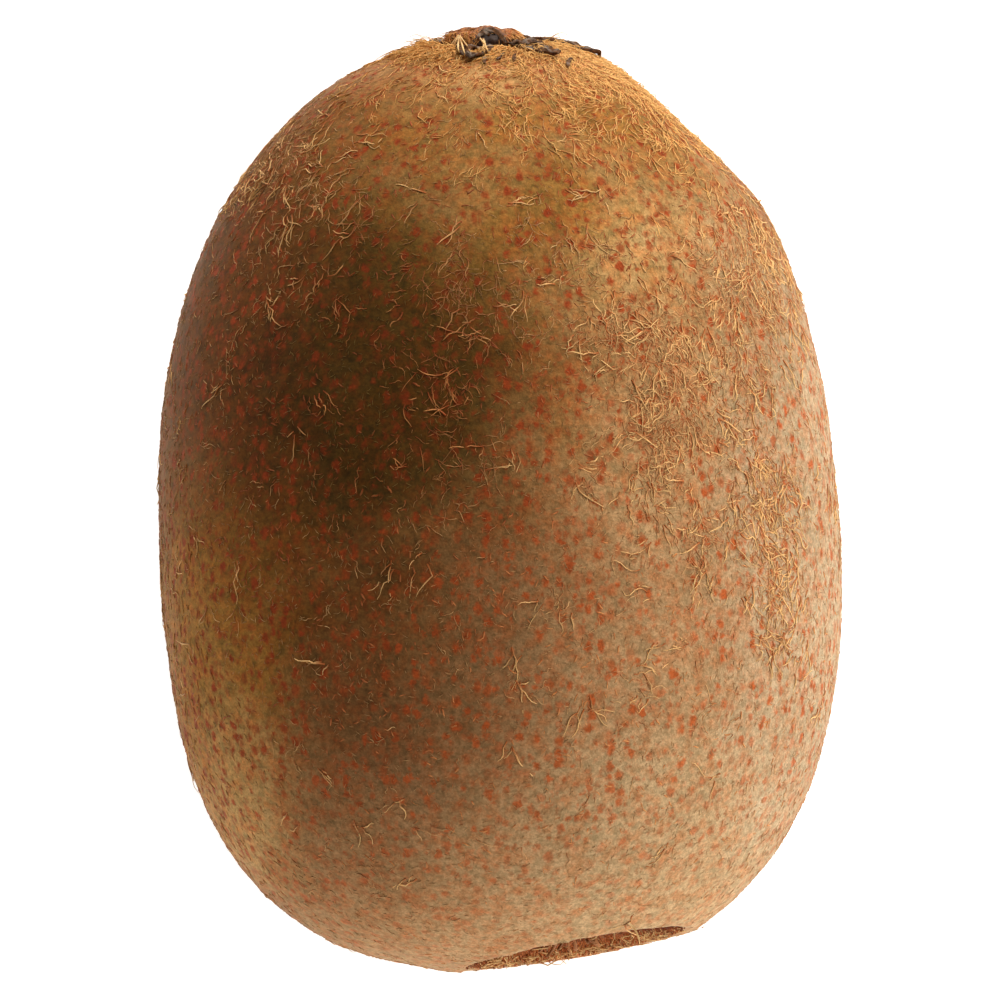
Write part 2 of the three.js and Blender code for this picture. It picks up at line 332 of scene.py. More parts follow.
def shade_smooth(mesh):
    mesh.polygons.foreach_set("use_smooth", [True] * len(mesh.polygons))


def welded_copy(node, name):
    """A new object with the CAD node's shape, its split vertices joined."""
    copy = link(bpy.data.objects.new(name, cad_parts[node].data.copy()))
    copy.data.materials.clear()
    weld = copy.modifiers.new("weld", "WELD")
    weld.merge_threshold = 0.002 * MM
    return copy


def from_dip_axis(points):
    """Distance of each point from the dip's axis."""
    return np.linalg.norm(np.cross(points - DIP_CENTRE, DIP_AXIS), axis=-1)


def near_dip(points):
    """1 on the blossom end, 0 on the rest."""
    return smoothstep(FRUIT_LOW[1] + 9 * MM, FRUIT_LOW[1] + 5 * MM, points[:, 1])


def remesh_evenly(skin):
    remesh = skin.modifiers.new("even_quads", "REMESH")
    remesh.mode, remesh.voxel_size = "VOXEL", SKIN_VOXEL
    skin.data = evaluated_mesh(skin)


def smooth_away_from_rim(skin):
    """Smooth the facets out, but hardly at all on the dip and its rim."""
    points = coordinates(skin.data)
    rim = near_dip(points) * smoothstep(12 * MM, 10 * MM, from_dip_axis(points))
    away = skin.vertex_groups.new(name="away_from_rim")
    for i, weight in enumerate(1 - 0.85 * rim):
        away.add([i], weight, "REPLACE")
    smooth = skin.modifiers.new("no_facets", "SMOOTH")
    smooth.factor, smooth.iterations, smooth.vertex_group = 0.5, 36, away.name
    skin.data = evaluated_mesh(skin)
    skin.vertex_groups.clear()


def make_skin():
    skin = welded_copy("fruit", "skin")
    remesh_evenly(skin)
    smooth_away_from_rim(skin)
    points, normals = coordinates(skin.data), vertex_normals(skin.data)
    relief = 0.14 * noise_at(points, 9 * MM, 1) + 0.05 * noise_at(points, 2.4 * MM, 2)
    relief += 0.03 * noise_at(points, 0.9 * MM, 3)
    points = points + normals * (relief * MM)[:, None]
    points[:, 2] = np.maximum(points[:, 2], 0)
    set_coordinates(skin.data, points)
    shade_smooth(skin.data)
    skin.data.materials.append(skin_material())
    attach(skin, "root")
    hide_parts("fruit")
    return skin


def centred_noise(paint, size, detail=2.0):
    return paint.maths("SUBTRACT", paint.noise(size, detail), 0.5)


def tinted(paint, colour, share, tint):
    """The colour, multiplied by the tint as far as the share (0 to 1) says."""
    return paint.mix(share, colour, paint.mix(1, colour, tint, "MULTIPLY"))


def blot(paint, middle, half_sizes, raggedness):
    """0 at the middle of a soft-edged blot and 1 at its nominal edge, growing beyond it."""
    away = paint.vector("SUBTRACT", paint.place, shown(middle))
    away = paint.vector("MULTIPLY", away, tuple(1 / (MM * half) for half in half_sizes))
    away = paint.vector("LENGTH", away, (0, 0, 0))
    return paint.maths("ADD", away, paint.maths("MULTIPLY", centred_noise(paint, 6 * MM, 3), raggedness))


def in_blot(paint, middle, half_sizes, raggedness, strength):
    """The strength well inside a blot, fading to 0 a little beyond its nominal edge."""
    return paint.between(blot(paint, middle, half_sizes, raggedness), 0.55, 1.35, strength, 0)


def lit_side_mask(paint):
    """A painted-light mask: 0 on the dim upper left, 1 on the right flank and towards the blossom end, which
    face the lamps, and ragged drifts between.
    """
    gradient = paint.vector("DOT_PRODUCT", paint.place, (0.8, -0.6, 0.0))
    gradient = paint.between(gradient, -13 * MM, 25 * MM)
    return paint.maths("ADD", gradient, paint.maths("MULTIPLY", centred_noise(paint, 7 * MM, 3), 0.6), True)


def bristle_dots(paint):
    """How far inside a dot each point is. The dots are soft-edged, uneven and drawn out along the fruit."""
    place = paint.stretched((1, 0.78, 1))
    for size, amount in ((0.7, 0.55), (0.25, 0.34)):
        wobble = paint.noise(size * MM, 1, output="Color")
        wobble = paint.vector("SUBTRACT", wobble, (0.5, 0.5, 0.5))
        place = paint.vector("ADD", place, paint.vector("MULTIPLY", wobble, shown((amount,) * 3)))
    cells = paint.tree.nodes.new("ShaderNodeTexVoronoi")
    cells.inputs["Scale"].default_value = 1 / (0.74 * MM)
    paint.put(cells.inputs["Vector"], place)
    lots = paint.tree.nodes.new("ShaderNodeSeparateColor")
    paint.put(lots.inputs[0], cells.outputs["Color"])
    size = paint.between(lots.outputs["Red"], 0, 1, 0.19, 0.50)
    beyond = paint.maths("SUBTRACT", cells.outputs["Distance"], size)
    strength = paint.between(lots.outputs["Green"], 0, 0.7, 0.4, 1)
    return paint.maths("MULTIPLY", paint.between(beyond, -0.24, 0.20, 1, 0), strength)


def in_dark_patch(paint, colour, tint, strength):
    """The colour, multiplied by the tint within the dark patch on the upper left."""
    return tinted(paint, colour, in_blot(paint, *DARK_PATCH, strength), tint)


def darker_in_dark_patch(paint, colour, strength=0.95):
    """Darker and greener in the dark patch."""
    return in_dark_patch(paint, colour, (0.39, 0.44, 0.25), strength)


def half_darker_in_dark_patch(paint, colour):
    return darker_in_dark_patch(paint, colour, 0.55)


def rusty_in_dark_patch(paint, colour):
    """Redder and a little darker in the dark patch."""
    return in_dark_patch(paint, colour, (0.68, 0.44, 0.32), 0.95)


def mottled(paint, colour, lit_side):
    """Mottles of dark olive, weaker towards the side painted as lit, under a patchy wash of rust that is
    painted paler and brighter there.
    """
    olive = paint.between(paint.noise(0.9 * MM, 3, 0.6), 0.36, 0.52, 1, 0)
    depth = paint.maths("SUBTRACT", 0.75, paint.maths("MULTIPLY", lit_side, 0.5))
    colour = tinted(paint, colour, paint.maths("MULTIPLY", olive, depth), (0.52, 0.60, 0.55))
    rust = paint.mix(lit_side, (0.31, 0.072, 0.010), (0.49, 0.155, 0.042))
    wash = paint.between(paint.noise(1.1 * MM, 4, 0.6), 0.40, 0.70, 0.05, 0.55)
    return paint.mix(wash, colour, rust)


def blotted(paint, colour):
    """Golden round the stalk, blotted with painted light and shade and with darker and paler skin, darker and
    greener in the dark patch, and dark red in the dip: painted shade in that hollow, over its red-brown.
    """
    near_stalk = paint.between(blot(paint, STUB_CENTRE / MM, (13, 6.5, 14), 0.5), 0.4, 1.3, 0.45, 0)
    colour = paint.mix(near_stalk, colour, (0.60, 0.29, 0.105))
    # Painted light and shade, with darker and paler skin, blot by blot.
    for middle, half_sizes, raggedness, strength, tint in PAINTED_LIGHT_AND_SKIN_BLOTS:
        colour = tinted(paint, colour, in_blot(paint, middle, half_sizes, raggedness, strength), tint)
    colour = darker_in_dark_patch(paint, colour)
    # Painted shade on the dip's own red-brown: its floor is darkened to deep red, as the hollow is shaded.
    dip_painted_shade = paint.between(blot(paint, DIP_CENTRE / MM, (7.9, 7.9, 7.9), 0.15), 0.85, 1.05, 0.9, 0)
    return paint.mix(dip_painted_shade, colour, (0.20, 0.048, 0.013))


def dotted(paint, colour, lit_side):
    """The rust-red dots, fewer and fainter round the blossom end."""
    few = paint.between(blot(paint, (6, -34, 22), (26, 22, 26), 0.3), 0.5, 1.2, 0.45, 1)
    dots = paint.maths("MULTIPLY", bristle_dots(paint), few)
    # Painted light: the dots are paler and brighter towards the lit side.
    dot_colour = paint.mix(lit_side, (0.290, 0.042, 0.008), (0.47, 0.105, 0.024))
    return paint.mix(dots, colour, half_darker_in_dark_patch(paint, dot_colour))


def speckled(paint, colour, speck, dark, light):
    """The colour, multiplied by a tint between dark and light as the speck noise goes from low to high."""
    return paint.mix(1, colour, paint.mix(paint.between(speck, 0.3, 0.7), dark, light), "MULTIPLY")


def skin_material():
    paint = Paint("kiwi_skin")
    # Painted light: the skin runs from dark olive on the dim upper left to pale tan towards the lit right
    # flank and blossom end.
    lit_side = lit_side_mask(paint)
    colour = paint.mix(lit_side, (0.205, 0.086, 0.0155), (0.480, 0.296, 0.146))
    colour = mottled(paint, colour, lit_side)
    colour = blotted(paint, colour)
    colour = dotted(paint, colour, lit_side)
    pores = paint.noise(0.17 * MM, 3, 0.6)
    grain = paint.noise(0.42 * MM, 3, 0.7)
    colour = speckled(paint, colour, pores, (0.84, 0.85, 0.82), (1.15, 1.15, 1.16))
    colour = speckled(paint, colour, grain, (0.76, 0.78, 0.74), (1.22, 1.22, 1.25))
    paint.set(Base_Color=colour, Roughness=0.8, Specular_IOR_Level=0.12)
    paint.set(Sheen_Weight=0.14, Sheen_Roughness=0.3, Sheen_Tint=(1.0, 0.90, 0.70, 1))
    paint.bump(paint.maths("ADD", pores, grain), 0.03 * MM)
    return paint.material


class Surface:
    """A mesh as triangles, for scattering roots over it by area."""

    def __init__(self, mesh):
        mesh.calc_loop_triangles()
        corners = np.zeros(len(mesh.loop_triangles) * 3, np.int32)
        mesh.loop_triangles.foreach_get("vertices", corners)
        corners = corners.reshape(-1, 3)
        self.corners = coordinates(mesh)[corners]
        self.corner_normals = vertex_normals(mesh)[corners]
        edge_a = self.corners[:, 1] - self.corners[:, 0]
        edge_b = self.corners[:, 2] - self.corners[:, 0]
        self.area = np.linalg.norm(np.cross(edge_a, edge_b), axis=1) / 2
        self.middle = self.corners.mean(1)

    def scatter(self, rng, count, density):
        """count random points and their normals, thickest where density(points) is highest."""
        weight = self.area * density(self.middle)
        chosen = rng.choice(len(weight), count, p=weight / weight.sum())
        share = rng.dirichlet((1, 1, 1), count)[:, :, None]
        return (self.corners[chosen] * share).sum(1), unit((self.corner_normals[chosen] * share).sum(1))


# ---------------------------------------------------------------- strands


def lying_direction(rng, points, normals, along, clump, spread, seed):
    """Unit tangents near the direction along, turned together within clumps of a size, then at random."""
    along = unit(along - normals * (along * normals).sum(1, keepdims=True))
    return turned(along, normals, 2.2 * noise_at(points, clump, seed) + rng.normal(0, spread, len(points)))


def turned(directions, normals, angles):
    """The directions turned about the normals by these angles."""
    across = np.cross(normals, directions)
    return directions * np.cos(angles)[:, None] + across * np.sin(angles)[:, None]


def centre_lines(rng, roots, normals, lie, length, steps, rise, fall, bend, crimp):
    """Curved hairs as strands x points x 3. They rise off the skin, fall back towards it, bend and crimp."""
    s = np.linspace(0, 1, steps + 1)[None, :]
    count = len(roots)
    length = length[:, None]
    rise = rise * rng.uniform(0.5, 1.5, (count, 1))
    sideways = rng.normal(0, bend, (count, 1)) * s**2
    for turns in (1.0, 2.3):
        swing = crimp * rng.normal(0, 1, (count, 1)) * np.sin(2 * math.pi * turns * s)
        sideways = sideways + swing / turns * s**0.5
    wave = crimp * rng.normal(0, 0.7, (count, 1)) * np.sin(2 * math.pi * 1.6 * s) * s
    forward = length * s
    up = length * (rise * s * (1 - fall * s) + wave) - forward**2 / (2 * SKIN_CURVE)
    across = np.cross(normals, lie)
    return (
        roots[:, None]
        + lie[:, None] * forward[:, :, None]
        + across[:, None] * (length * sideways)[:, :, None]
        + normals[:, None] * up[:, :, None]
    )


def tube_points(lines, normals, radius, taper, sides):
    """Rings of points round the lines, as strands x rings x sides x 3, narrowing from root to tip."""
    tangent = unit(np.gradient(lines, axis=1))
    across = unit(np.cross(tangent, normals[:, None]))
    up = np.cross(across, tangent)
    s = np.linspace(0, 1, lines.shape[1])
    width = radius[:, None] * lerp(1, taper, s**1.5)[None]
    angle = 2 * math.pi * np.arange(sides) / sides
    ring = across[:, :, None] * np.cos(angle)[:, None] + up[:, :, None] * np.sin(angle)[:, None]
    return lines[:, :, None] + width[:, :, None, None] * ring


def tube_corners(count, rings, sides):
    """The vertex numbers of the tubes' side quads, and of the caps at their tips."""
    first = (np.arange(count) * rings * sides)[:, None, None]
    j = np.arange(rings - 1)[None, :, None]
    k = np.arange(sides)[None, None, :]
    here, beside = first + j * sides + k, first + j * sides + (k + 1) % sides
    quads = np.stack([here, here + sides, beside + sides, beside], -1).reshape(-1, 4)
    caps = first[:, 0] + (rings - 1) * sides + np.arange(sides)[None]
    return quads, caps[:, ::-1]


def tube_map(count, rings, sides):
    """Where the corners of the quads, then of the caps, go on the map: a cell for each strand, unrolled."""
    steps = rings - 1
    cells = math.ceil(math.sqrt(count))
    cell = np.arange(count)
    cell_u, cell_v = (cell % cells)[:, None, None], (cell // cells)[:, None, None]
    j = np.arange(steps)[None, :, None]
    k = np.arange(sides)[None, None, :]
    left = (cell_u + k / sides) / cells + 0 * j
    right = (cell_u + (k + 0.9) / sides) / cells + 0 * j
    low = (cell_v + 0.95 * j / rings) / cells + 0 * k
    high = (cell_v + 0.95 * (j + 1) / rings) / cells + 0 * k
    quad_map = np.stack([left, low, left, high, right, high, right, low], -1).reshape(-1, 2)
    turn = 2 * math.pi * np.arange(sides) / sides
    cap_u = (cell_u[:, 0] + 0.5 + 0.4 * np.cos(turn)[None]) / cells
    cap_v = (cell_v[:, 0] + (steps + 0.45 + 0.4 * np.sin(turn)[None]) / rings) / cells
    return np.concatenate([quad_map, np.stack([cap_u, cap_v], -1).reshape(-1, 2)])


def tube_mesh(name, points, quads, caps):
    """A mesh of the quads, then the caps."""
    mesh = bpy.data.meshes.new(name)
    mesh.vertices.add(points.size // 3)
    mesh.vertices.foreach_set("co", points.ravel())
    mesh.loops.add(quads.size + caps.size)
    mesh.loops.foreach_set("vertex_index", np.concatenate([quads.ravel(), caps.ravel()]))
    mesh.polygons.add(len(quads) + len(caps))
    starts = np.concatenate([4 * np.arange(len(quads)), quads.size + caps.shape[1] * np.arange(len(caps))])
    mesh.polygons.foreach_set("loop_start", starts)
    shade_smooth(mesh)
    mesh.update(calc_edges=True)
    return mesh


def strand_object(name, lines, normals, radius, taper, sides, shade, material):
    """One mesh of tapering tubes along the lines, with shade (per strand) and along (root to tip) stored."""
    count, rings = lines.shape[:2]
    quads, caps = tube_corners(count, rings, sides)
    mesh = tube_mesh(name, tube_points(lines, normals, radius, taper, sides), quads, caps)
    mesh.uv_layers.new(name="OFBake").data.foreach_set("uv", tube_map(count, rings, sides).ravel())
    along = np.tile(np.repeat(np.linspace(0, 1, rings), sides), count)
    for key, values in {"shade": np.repeat(shade, rings * sides), "along": along}.items():
        mesh.attributes.new(key, "FLOAT", "POINT").data.foreach_set("value", values.astype(np.float32))
    mesh.materials.append(material)
    strands = link(bpy.data.objects.new(name, mesh))
    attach(strands, "root")
    return strands


def grow(rng, name, lines, normals, radii, taper, sides, material):
    """Strands along the lines, each with a random radius between the two (millimetres) and brightness."""
    radius = rng.uniform(*radii, len(lines)) * MM
    shade = rng.uniform(0, 1, len(lines))
    return strand_object(name, lines, normals, radius, taper, sides, shade, material)


def strand_material(name, root, tip, dark, light, turning=0.6, changed_by=None):
    """Colour runs from root to tip and varies from strand to strand between two brightnesses.

    turning is how far along the strand the tip's colour is reached; changed_by may alter the colour by place.
    """
    paint = Paint(name)
    along = paint.between(paint.attribute("along"), 0.0, turning)
    colour = paint.mix(along, root, tip)
    tone = paint.mix(paint.attribute("shade"), (dark,) * 3, (light,) * 3)
    colour = paint.mix(1, colour, tone, "MULTIPLY")
    if changed_by:
        colour = changed_by(paint, colour)
    paint.set(Base_Color=colour, Roughness=0.6, Specular_IOR_Level=0.2)
    return paint.material


def like_the_skin(paint, colour):
    """Paler on the side painted as lit, as the skin is, and half as dark as the skin in its dark patch."""
    return half_darker_in_dark_patch(paint, tinted(paint, colour, lit_side_mask(paint), (1.7, 2.9, 3.6)))


def under_upper_rim(paint, colour):
    """Dark red under the dip's upper rim, where little light reaches."""
    height = paint.vector("DOT_PRODUCT", paint.place, (0, 0, 1))
    shade = paint.between(height, DIP_CENTRE[2] - 4 * MM, DIP_CENTRE[2] + 4 * MM)
    return tinted(paint, colour, shade, (0.42, 0.30, 0.26))


def clear_of_ends(points):
    """0 in the blossom-end dip and on the stalk's seat, 1 elsewhere."""
    within_rim = smoothstep(DIP_RADIUS + 0.5 * MM, DIP_RADIUS - 0.2 * MM, from_dip_axis(points))
    from_stub = np.linalg.norm(points - STUB_CENTRE, axis=1)
    return (1 - near_dip(points) * within_rim) * smoothstep(2.6 * MM, 3.4 * MM, from_stub)


def off_the_rest(points):
    """0 on the flat spot that the fruit lies on, 1 from a millimetre above it."""
    return smoothstep(0.15 * MM, 1.0 * MM, points[:, 2])


def down_density(points):
    return clear_of_ends(points) * off_the_rest(points)


def bristle_density(points):
    patchy = 0.75 + 0.6 * noise_at(points, 5 * MM, 5)
    blossom = lerp(0.45, 1.0, smoothstep(FRUIT_LOW[1] + 4 * MM, FRUIT_LOW[1] + 26 * MM, points[:, 1]))
    return np.clip(patchy, 0.15, None) * blossom * clear_of_ends(points) * off_the_rest(points)


def hair_density(points):
    """Sparse all over, in drifts on the hidden sides, and thick in the named clumps of the upper side."""
    patchy = noise_at(points, 8 * MM, 6) + 0.5 * noise_at(points, 3 * MM, 7)
    upper = smoothstep(0.35, 0.6, (points[:, 2] - FRUIT_LOW[2]) / (FRUIT_HIGH[2] - FRUIT_LOW[2]))
    drifts = 0.25 + 6.0 * smoothstep(0.2, 0.7, patchy)
    density = lerp(drifts, 0.25 + 0.9 * smoothstep(0.1, 0.7, patchy), upper)
    ragged = np.clip(1 + 1.2 * noise_at(points, 1.8 * MM, 8), 0.1, None)
    for (x, y), (half_x, half_y), strength in HAIR_CLUMPS:
        dx = (points[:, 0] - FRUIT_CENTRE[0] - x * MM) / (half_x * MM)
        dy = (points[:, 1] - FRUIT_CENTRE[1] - y * MM) / (half_y * MM)
        density = density + upper * strength * np.exp(-(dx**2 + dy**2)) * ragged
    low_end = lerp(0.35, 1.0, smoothstep(-24 * MM, -4 * MM, points[:, 1] - FRUIT_CENTRE[1]))
    return density * low_end * clear_of_ends(points) * off_the_rest(points)


def stalk_density(points):
    """Thick round the stalk end, thinning out over the shoulders, thicker to the right."""
    distance = np.linalg.norm(points - STUB_CENTRE - np.array([4.5 * MM, 0, 0]), axis=1)
    ring = np.exp(-((distance / (9.5 * MM)) ** 2))
    right = 1 + 1.5 * smoothstep(-4 * MM, 9 * MM, points[:, 0])
    return ring * right * clear_of_ends(points) + 1e-9


def calyx_density(points):
    """A ring round the stub, where the dried sepals lie."""
    distance = np.linalg.norm(points - STUB_CENTRE, axis=1)
    return np.exp(-(((distance - 3.9 * MM) / (1.3 * MM)) ** 2)) * clear_of_ends(points) + 1e-9


def dip_density(points):
    floor = near_dip(points) * smoothstep(DIP_RADIUS - 0.2 * MM, DIP_RADIUS - 1.3 * MM, from_dip_axis(points))
    return floor + 1e-9


def rim_density(points):
    """A ring inside the dip's rim, thickest on its lower half."""
    ring = np.exp(-(((from_dip_axis(points) - DIP_RADIUS + 2.4 * MM) / (1.5 * MM)) ** 2))
    lower = smoothstep(DIP_CENTRE[2] + 4 * MM, DIP_CENTRE[2] - 2 * MM, points[:, 2])
    return near_dip(points) * ring * lerp(0.12, 1.0, lower) + 1e-9


def tufted(rng, surface, count, per_tuft, spread, density):
    """Roots gathered in loose tufts, their normals, and the number of each one's tuft."""
    middles, normals = surface.scatter(rng, count // per_tuft, density)
    tuft = np.arange(count) % len(middles)
    normals = normals[tuft]
    offset = rng.normal(0, spread, (count, 3))
    offset -= normals * (offset * normals).sum(1, keepdims=True)
    return middles[tuft] + offset, normals, tuft


def make_bristles(rng, surface):
    """Short rust-red hairs that lie nearly flat."""
    material = strand_material("bristle", (0.30, 0.050, 0.010), (0.40, 0.100, 0.025), 0.7, 1.1,
                               changed_by=like_the_skin)
    for part, count in enumerate((3000, 3000)):
        roots, normals = surface.scatter(rng, count, bristle_density)
        roots = roots - normals * 0.05 * MM
        lie = lying_direction(rng, roots, normals, np.array([[0.1, -1, 0]]), 4 * MM, 0.7, 20 + part)
        length = rng.uniform(0.22, 0.60, count) * MM
        lines = centre_lines(rng, roots, normals, lie, length, 3, 0.20, 0.6, 0.2, 0.05)
        grow(rng, f"bristles_{part + 1}", lines, normals, (0.05, 0.10), 0.4, 4, material)


def make_golden_hairs(rng, surface):
    """Long kinked straw-coloured hairs that lie over the skin in loose tufts, and thinner ones among them."""
    thick = strand_material("golden_hair", (0.46, 0.12, 0.026), (0.92, 0.56, 0.225), 0.75, 1.08, 0.6,
                            rusty_in_dark_patch)
    thin = strand_material("fine_hair", (0.44, 0.13, 0.034), (0.80, 0.48, 0.20), 0.65, 1.1, 0.7,
                           rusty_in_dark_patch)
    for name, material, count, per_tuft, mean_length, radii, seed in (
        ("golden_hairs", thick, 1900, 3, 1.6, (0.045, 0.08), 30),
        ("fine_hairs", thin, 7000, 2, 0.95, (0.022, 0.04), 31),
    ):
        roots, normals, tuft = tufted(rng, surface, count, per_tuft, 0.3 * MM, hair_density)
        lie = lying_direction(rng, roots, normals, TO_BLOSSOM_END, 3 * MM, 0.45, seed)
        lie = turned(lie, normals, rng.normal(0, 0.7, count)[tuft])
        length = np.clip(rng.gamma(6, mean_length / 6, count), 0.4, 2.8) * MM
        lines = centre_lines(rng, roots, normals, lie, length, 6, 0.08, 0.8, 0.3, 0.10)
        grow(rng, name, lines, normals, radii, 0.4, 3, material)


def make_stalk_hairs(rng, surface):
    """The thick golden hair that runs down from the stalk end; the second lot arches over the sepals."""
    material = strand_material("stalk_hair", (0.52, 0.14, 0.028), (0.90, 0.50, 0.160), 0.7, 1.05, 0.5)
    for part, (count, density, rise) in enumerate(((4600, stalk_density, 0.09), (3000, calyx_density, 0.31))):
        roots, normals, tuft = tufted(rng, surface, count, 3, 0.25 * MM, density)
        outwards = unit(roots - STUB_CENTRE + np.array([-1.5 * MM, -8 * MM, 0]))
        lie = lying_direction(rng, roots, normals, outwards, 3 * MM, 0.3, 40 + part)
        lie = turned(lie, normals, rng.normal(0, 0.35, count)[tuft])
        length = np.clip(rng.gamma(7, 0.19, count), 0.6, 2.4) * MM
        lines = centre_lines(rng, roots, normals, lie, length, 6, rise, 0.95, 0.25, 0.10)
        grow(rng, f"stalk_hairs_{part + 1}", lines, normals, (0.035, 0.06), 0.4, 3, material)


def make_down(rng, surface):
    """Very fine short hairs close to the skin, which give it its velvet grain."""
    material = strand_material("down", (0.34, 0.15, 0.045), (0.56, 0.32, 0.13), 0.6, 1.15, changed_by=darker_in_dark_patch)
    for part, count in enumerate((9000, 9000)):
        roots, normals = surface.scatter(rng, count, down_density)
        lie = lying_direction(rng, roots, normals, TO_BLOSSOM_END, 6 * MM, 1.0, 50 + part)
        length = rng.uniform(0.15, 0.5, count) * MM
        lines = centre_lines(rng, roots, normals, lie, length, 2, 0.2, 0.6, 0.2, 0.05)
        grow(rng, f"down_{part + 1}", lines, normals, (0.018, 0.03), 0.4, 3, material)


def dip_depth(points):
    """How deep the dip is under its mouth at each point, from 0 at the rim."""
    return DIP_DEPTH * np.clip(1 - (from_dip_axis(points) / DIP_RADIUS) ** 2.6, 0, 1)


def kept_in_dip(lines):
    """The lines with whatever reaches out of the dip pressed down to its mouth."""
    beyond = (lines - DIP_CENTRE) @ DIP_AXIS - DIP_MOUTH
    return lines - np.maximum(beyond, 0)[..., None] * DIP_AXIS


def make_dip_hairs(rng, surface):
    """The dense crimped hairs that stand on the blossom-end dip's floor."""
    material = strand_material("dip_hair", (0.16, 0.026, 0.006), (0.54, 0.155, 0.036), 0.5, 1.35, 0.9,
                               under_upper_rim)
    count = 5600
    roots, normals = surface.scatter(rng, count, dip_density)
    length = dip_depth(roots) * rng.uniform(0.30, 0.72, count) + rng.uniform(0.08, 0.18, count) * MM
    upright = unit(DIP_AXIS[None] + rng.normal(0, 0.28, (count, 3)))
    sideways = unit(np.cross(upright, normals + np.array([0.01, 0.02, 0.03])))
    lines = kept_in_dip(centre_lines(rng, roots, sideways, upright, length, 6, 0.1, 0.5, 0.2, 0.12))
    grow(rng, "dip_hairs", lines, sideways, (0.035, 0.06), 0.5, 3, material)


def make_dip_straws(rng, surface):
    """Pale hairs among the dip's: two thirds stand up to its mouth, and the rest lie level across it."""
    material = strand_material("straw", (0.60, 0.27, 0.08), (0.88, 0.55, 0.22), 0.7, 1.05)
    count = 290
    roots, normals = surface.scatter(rng, count, rim_density)
    standing = rng.uniform(0, 1, count) < 0.68
    start = np.where(standing, rng.uniform(0.10, 0.5, count), rng.uniform(0.7, 0.95, count))
    roots = roots + DIP_AXIS * (dip_depth(roots) * start)[:, None]
    level = rng.normal(0, 1, (count, 3))
    level -= DIP_AXIS * (level @ DIP_AXIS)[:, None]
    tilt = np.where(standing, rng.uniform(0.6, 2.2, count), rng.uniform(-0.15, 0.1, count))
    lie = unit(unit(level) + DIP_AXIS * tilt[:, None])
    sideways = unit(np.cross(lie, DIP_AXIS))
    length = rng.uniform(0.7, 1.8, count) * MM
    room = (DIP_MOUTH - (roots - DIP_CENTRE) @ DIP_AXIS) / np.maximum(lie @ DIP_AXIS, 0.25)
    length = np.where(standing, np.clip(room, 0.3 * MM, length), length)
    lines = kept_in_dip(centre_lines(rng, roots, sideways, lie, length, 6, 0.1, 0.5, 0.2, 0.08))
    grow(rng, "dip_straws", lines, sideways, (0.035, 0.06), 0.5, 4, material)


def make_pale_hairs(rng, draper):
    """The few single hairs that stand out as pale, each bowed a little and draped over the fruit."""
    material = strand_material("pale_hair", (0.92, 0.62, 0.30), (0.88, 0.55, 0.22), 0.85, 1.0)
    share = np.linspace(0, 1, 8)
    lines = []
    for foot, tip in PALE_HAIRS:
        foot, tip = np.array(foot) * MM, np.array(tip) * MM
        bow = rng.normal(0, 0.07) * np.sin(math.pi * share)[:, None]
        plan = lerp(foot, tip, share[:, None]) + bow * np.array([foot[1] - tip[1], tip[0] - foot[0]])
        heights = np.array([draper.height(x, y) or STUB_CENTRE[2] for x, y in plan])
        heights = np.maximum(heights, heights[0] - 0.5 * MM)
        lift = MM * (0.20 + 0.35 * np.sin(math.pi * share))
        lines.append(np.column_stack([plan, heights + lift]))
    lines = np.array(lines)
    normals = np.tile([0.0, 0.0, 1.0], (len(lines), 1))
    grow(rng, "pale_hairs", lines, normals, (0.06, 0.10), 0.45, 5, material)


# ---------------------------------------------------------------- stalk, sepals and styles


def refined_copy(node, name, levels):
    """The CAD node's shape with its faces subdivided smoothly."""
    piece = welded_copy(node, name)
    refine = piece.modifiers.new("refine", "SUBSURF")
    refine.levels = levels
    piece.data = evaluated_mesh(piece)
    shade_smooth(piece.data)
    return piece


def stands_for(piece, node):
    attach(piece, "root")
    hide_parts(node)


def stub_material():
    paint = Paint("stub_wood")
    streaks = paint.noise(0.5 * MM, 4, 0.6, paint.stretched((1, 0.35, 1)))
    colour = paint.mix(paint.between(streaks, 0.35, 0.65), (0.13, 0.035, 0.010), (0.46, 0.17, 0.045))
    # A dark ragged patch is painted on the upper side, at the scar.
    scar = STUB_CENTRE / MM + (0.45, 0.0, 2.4)
    dark_scar = paint.between(blot(paint, scar, (1.5, 1.3, 2.6), 1.3), 0.7, 1.15, 0.95, 0)
    colour = paint.mix(dark_scar, colour, (0.030, 0.015, 0.010))
    paint.set(Base_Color=colour, Roughness=0.7)
    paint.bump(streaks, 0.12 * MM)
    return paint.material


def make_stub():
    """The stub's dome, with woody fibres that fan out from its middle and an uneven surface."""
    stub = refined_copy("stalk_stub", "stub", 2)
    points, normals = coordinates(stub.data), vertex_normals(stub.data)
    angle = np.arctan2(points[:, 2] - STUB_CENTRE[2], points[:, 0] - STUB_CENTRE[0])
    fibres = 0.08 * np.sin(17 * angle) + 0.06 * np.sin(29 * angle + 1)
    relief = 0.6 * fibres + 0.26 * noise_at(points, 1.2 * MM, 61)
    relief = relief + 0.08 * noise_at(points, 0.4 * MM, 62) - 0.10
    set_coordinates(stub.data, points + normals * (relief * MM)[:, None])
    stub.data.materials.append(stub_material())
    stands_for(stub, "stalk_stub")
    return stub


